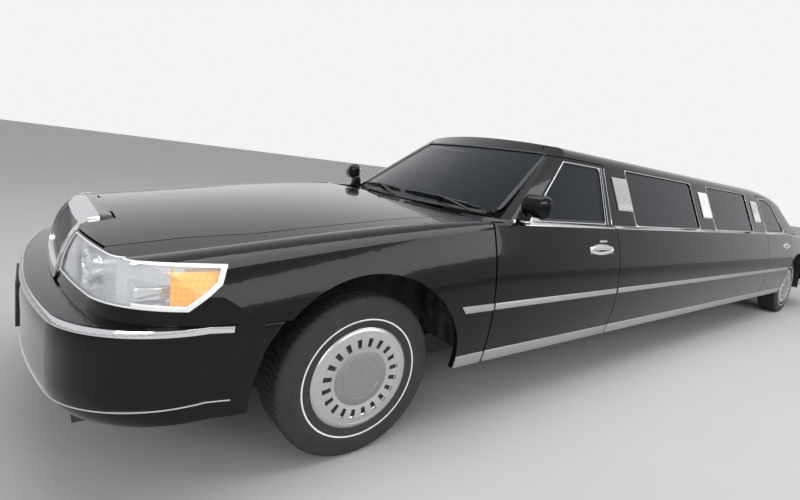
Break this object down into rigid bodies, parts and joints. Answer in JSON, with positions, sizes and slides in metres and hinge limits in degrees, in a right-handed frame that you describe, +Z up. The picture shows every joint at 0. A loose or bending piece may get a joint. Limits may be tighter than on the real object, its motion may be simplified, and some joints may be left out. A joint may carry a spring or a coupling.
{
  "type": "stretch limousine",
  "caption": "Stretch limousine with opening doors, bonnet and boot lid, steered front wheels and a hollow cabin with seats, partition and bar.",
  "frame": {"origin": "on the ground below the middle of the car's box", "axes": "+Z up, +Y towards the car's rear, +X towards the car's left"},
  "size_m": [1.9898, 8.5227, 1.48],
  "materials": {
    "black_paint": "gloss black paint with clear coat",
    "tinted_glass": "dark tinted glass",
    "lamp_glass": "clear lens",
    "lamp_reflector": "bright reflector",
    "tail_lamp_red": "red lens",
    "chrome_trim": "polished chrome",
    "light_panel": "white ribbed lens",
    "underbody_steel": "satin black chassis paint",
    "engine_block": "cast",
    "radiator_core": "black core",
    "exhaust_steel": "dull steel",
    "seat_leather": "black leather",
    "cabin_plastic": "grained",
    "bar_wood": "dark lacquered",
    "tyre_rubber": "rubber with thin white ring",
    "wheel_alloy": "bright silver"
  },
  "bodies": {
    "body": {"aprons": "underbody_steel", "bar_cabinet": "bar_wood", "dashboard": "cabin_plastic", "engine": "engine_block", "exhaust": "exhaust_steel", "floor": "underbody_steel", "frame": "underbody_steel", "front_bumper": "black_paint", "front_suspension": "underbody_steel", "headlamp_bowls": "lamp_reflector", "headlamp_lenses": "lamp_glass", "light_panels": "light_panel", "partition": "cabin_plastic", "prop_shaft": "underbody_steel", "radiator": "radiator_core", "rear_axle": "underbody_steel", "rear_bumper": "black_paint", "rear_window": "tinted_glass", "roof": "black_paint", "seats": "seat_leather", "side_left": "black_paint", "side_right": "black_paint", "side_windows": "tinted_glass", "tail_lamps": "tail_lamp_red", "windscreen": "tinted_glass", "wing_left": "black_paint", "wing_right": "black_paint"},
    "front_door_left": {"front_door_left": "black_paint", "front_glass_left": "tinted_glass"},
    "front_wheel_left": {"front_tyre_left": "tyre_rubber", "front_wheel_left": "wheel_alloy"},
    "rear_door_left": {"rear_door_left": "black_paint", "rear_glass_left": "tinted_glass"},
    "rear_wheel_left": {"rear_tyre_left": "tyre_rubber", "rear_wheel_left": "wheel_alloy"},
    "knuckle_left": {"knuckle_left": "underbody_steel"},
    "front_door_right": {"front_door_right": "black_paint", "front_glass_right": "tinted_glass"},
    "front_wheel_right": {"front_tyre_right": "tyre_rubber", "front_wheel_right": "wheel_alloy"},
    "rear_door_right": {"rear_door_right": "black_paint", "rear_glass_right": "tinted_glass"},
    "rear_wheel_right": {"rear_tyre_right": "tyre_rubber", "rear_wheel_right": "wheel_alloy"},
    "knuckle_right": {"knuckle_right": "underbody_steel"},
    "bonnet": {"bonnet": "black_paint", "grille": "chrome_trim"},
    "boot_lid": {"boot_lid": "black_paint"},
    "steering_wheel": {"steering_wheel": "cabin_plastic"}
  },
  "joints": [
    {"name": "steer_left", "type": "hinge", "parent": "body", "child": "knuckle_left", "pos_m": [0.735, -3.2335, 0.345], "axis": [0, 0, 1], "range_deg": [-32, 32]},
    {"name": "steer_right", "type": "hinge", "parent": "body", "child": "knuckle_right", "pos_m": [-0.735, -3.2335, 0.345], "axis": [0, 0, 1], "range_deg": [-32, 32]},
    {"name": "steering_wheel_turn", "type": "hinge", "parent": "body", "child": "steering_wheel", "pos_m": [0.39, -2.1435, 0.9], "axis": [0, 0.9063, 0.4226], "range_deg": [-480, 480]},
    {"name": "front_wheel_spin_left", "type": "hinge", "parent": "knuckle_left", "child": "front_wheel_left", "pos_m": [0.805, -3.2335, 0.345], "axis": [1, 0, 0], "continuous": true},
    {"name": "front_wheel_spin_right", "type": "hinge", "parent": "knuckle_right", "child": "front_wheel_right", "pos_m": [-0.805, -3.2335, 0.345], "axis": [1, 0, 0], "continuous": true},
    {"name": "rear_wheel_spin_left", "type": "hinge", "parent": "body", "child": "rear_wheel_left", "pos_m": [0.805, 2.8045, 0.345], "axis": [1, 0, 0], "continuous": true},
    {"name": "rear_wheel_spin_right", "type": "hinge", "parent": "body", "child": "rear_wheel_right", "pos_m": [-0.805, 2.8045, 0.345], "axis": [1, 0, 0], "continuous": true},
    {"name": "front_door_hinge_left", "type": "hinge", "parent": "body", "child": "front_door_left", "pos_m": [1, -2.5945, 0.65], "axis": [0, 0, -1], "range_deg": [0, 66]},
    {"name": "front_door_hinge_right", "type": "hinge", "parent": "body", "child": "front_door_right", "pos_m": [-1, -2.5945, 0.65], "axis": [0, 0, 1], "range_deg": [0, 66]},
    {"name": "rear_door_hinge_left", "type": "hinge", "parent": "body", "child": "rear_door_left", "pos_m": [1, 1.5895, 0.65], "axis": [0, 0, -1], "range_deg": [0, 66]},
    {"name": "rear_door_hinge_right", "type": "hinge", "parent": "body", "child": "rear_door_right", "pos_m": [-1, 1.5895, 0.65], "axis": [0, 0, 1], "range_deg": [0, 66]},
    {"name": "bonnet_hinge", "type": "hinge", "parent": "body", "child": "bonnet", "pos_m": [0, -2.5975, 1.024], "axis": [-1, 0, 0], "range_deg": [0, 60]},
    {"name": "boot_lid_hinge", "type": "hinge", "parent": "body", "child": "boot_lid", "pos_m": [0, 3.1595, 1.018], "axis": [1, 0, 0], "range_deg": [0, 75]}
  ],
  "couplings": [
    {"joint": "steer_right", "follows": "steer_left", "ratio": 1},
    {"joint": "steering_wheel_turn", "follows": "steer_left", "ratio": 15}
  ]
}
